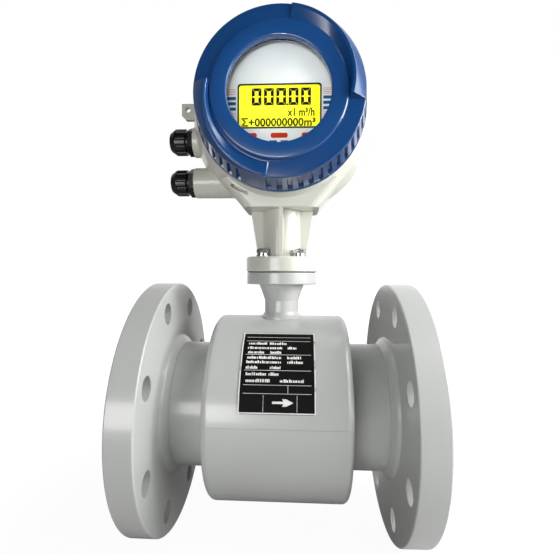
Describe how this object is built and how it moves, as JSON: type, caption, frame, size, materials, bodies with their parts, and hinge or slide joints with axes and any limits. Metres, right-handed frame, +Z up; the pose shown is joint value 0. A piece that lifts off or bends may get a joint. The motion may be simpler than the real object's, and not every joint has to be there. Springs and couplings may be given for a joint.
{
  "type": "electromagnetic flow meter",
  "caption": "Flanged electromagnetic flow meter: lined flow tube in a round coil housing, with a bolted neck and a round converter head that has a windowed display and screwed covers.",
  "frame": {"origin": "centre of the flow bore, midway between the two sealing faces", "axes": "+X along the pipe with the flow, -Y towards the display, +Z up the neck to the converter"},
  "size_m": [0.25, 0.2286, 0.4656],
  "materials": {
    "body_paint": "gloss grey paint",
    "tube_steel": "gloss grey paint",
    "liner": "white fluoroplastic",
    "copper": "enamelled copper winding",
    "iron": "bare laminated iron",
    "electrode_steel": "polished",
    "insulator": "ivory plastic",
    "zinc": "bright zinc",
    "plate_black": "black plate with a pale border",
    "gasket_rubber": "matt black rubber",
    "converter_paint": "cream gloss paint on cast aluminium",
    "cover_paint": "blue gloss paint on cast aluminium",
    "window": "clear",
    "retainer_metal": "turned",
    "faceplate_plastic": "light grey satin",
    "screen_frame": "black",
    "screen_light": "yellow backlit",
    "key_red": "red",
    "board_green": "solder mask",
    "post_brass": "plated",
    "terminal_plastic": "green plastic",
    "cable_grey": "grey sheath",
    "potting_resin": "cast resin",
    "gland_black": "black polyamide"
  },
  "bodies": {
    "meter": {"measuring_tube": "tube_steel", "inlet_flange": "body_paint", "outlet_flange": "body_paint", "lining": "liner", "coil_housing_upper": "body_paint", "coil_housing_lower": "body_paint", "upper_coil": "copper", "lower_coil": "copper", "upper_pole_core": "iron", "lower_pole_core": "iron", "magnet_yoke": "iron", "electrodes": "electrode_steel", "electrode_insulators": "insulator", "electrode_nuts": "zinc", "rating_plate": "plate_black", "neck_tube": "body_paint", "neck_gasket": "gasket_rubber", "base_bolts": "zinc", "flat_washers": "zinc", "spring_washers": "zinc", "converter_stem": "converter_paint", "converter_housing": "converter_paint", "fixing_lug": "converter_paint", "faceplate": "faceplate_plastic", "screen_bezel": "screen_frame", "screen_glass": "screen_light", "touch_keys": "key_red", "display_board": "board_green", "main_board": "board_green", "power_board": "board_green", "board_posts": "post_brass", "faceplate_screws": "zinc", "terminal_block": "terminal_plastic", "terminal_screws": "zinc", "inner_earth_screw": "zinc", "sensor_cable": "cable_grey", "neck_potting": "potting_resin", "upper_gland_body": "gland_black", "lower_gland_body": "gland_black"},
    "front_seal": {"front_cover_seal": "gasket_rubber"},
    "front_cover": {"front_cover": "cover_paint", "window_gasket": "gasket_rubber", "window_glass": "window", "window_retainer": "retainer_metal"},
    "rear_seal": {"rear_cover_seal": "gasket_rubber"},
    "rear_cover": {"rear_cover": "cover_paint"},
    "upper_gland_seal": {"upper_gland_seal": "gasket_rubber"},
    "upper_gland_nut": {"upper_gland_nut": "gland_black"},
    "lower_gland_seal": {"lower_gland_seal": "gasket_rubber"},
    "lower_gland_nut": {"lower_gland_nut": "gland_black"}
  },
  "joints": [
    {"name": "front_cover_travel", "type": "slide", "parent": "meter", "child": "front_seal", "axis": [0, -1, 0], "range_m": [0, 0.01201]},
    {"name": "front_cover_turn", "type": "hinge", "parent": "front_seal", "child": "front_cover", "pos_m": [0, -0.045, 0.2673], "axis": [0, -1, 0], "range_deg": [0, 1440]},
    {"name": "rear_cover_travel", "type": "slide", "parent": "meter", "child": "rear_seal", "axis": [0, 1, 0], "range_m": [0, 0.01201]},
    {"name": "rear_cover_turn", "type": "hinge", "parent": "rear_seal", "child": "rear_cover", "pos_m": [0, 0.045, 0.2673], "axis": [0, 1, 0], "range_deg": [0, 1440]},
    {"name": "upper_gland_nut_travel", "type": "slide", "parent": "meter", "child": "upper_gland_seal", "axis": [-1, 0, 0], "range_m": [0, 0.00451]},
    {"name": "upper_gland_nut_turn", "type": "hinge", "parent": "upper_gland_seal", "child": "upper_gland_nut", "pos_m": [-0.092, 0, 0.2508], "axis": [-1, 0, 0], "range_deg": [0, 1080]},
    {"name": "lower_gland_nut_travel", "type": "slide", "parent": "meter", "child": "lower_gland_seal", "axis": [-1, 0, 0], "range_m": [0, 0.00451]},
    {"name": "lower_gland_nut_turn", "type": "hinge", "parent": "lower_gland_seal", "child": "lower_gland_nut", "pos_m": [-0.0907, 0, 0.2115], "axis": [-1, 0, 0], "range_deg": [0, 1080]}
  ],
  "couplings": [
    {"joint": "front_cover_travel", "follows": "front_cover_turn", "m_per_rad": 0.00047746},
    {"joint": "rear_cover_travel", "follows": "rear_cover_turn", "m_per_rad": 0.00047746},
    {"joint": "upper_gland_nut_travel", "follows": "upper_gland_nut_turn", "m_per_rad": 0.00023873},
    {"joint": "lower_gland_nut_travel", "follows": "lower_gland_nut_turn", "m_per_rad": 0.00023873}
  ]
}
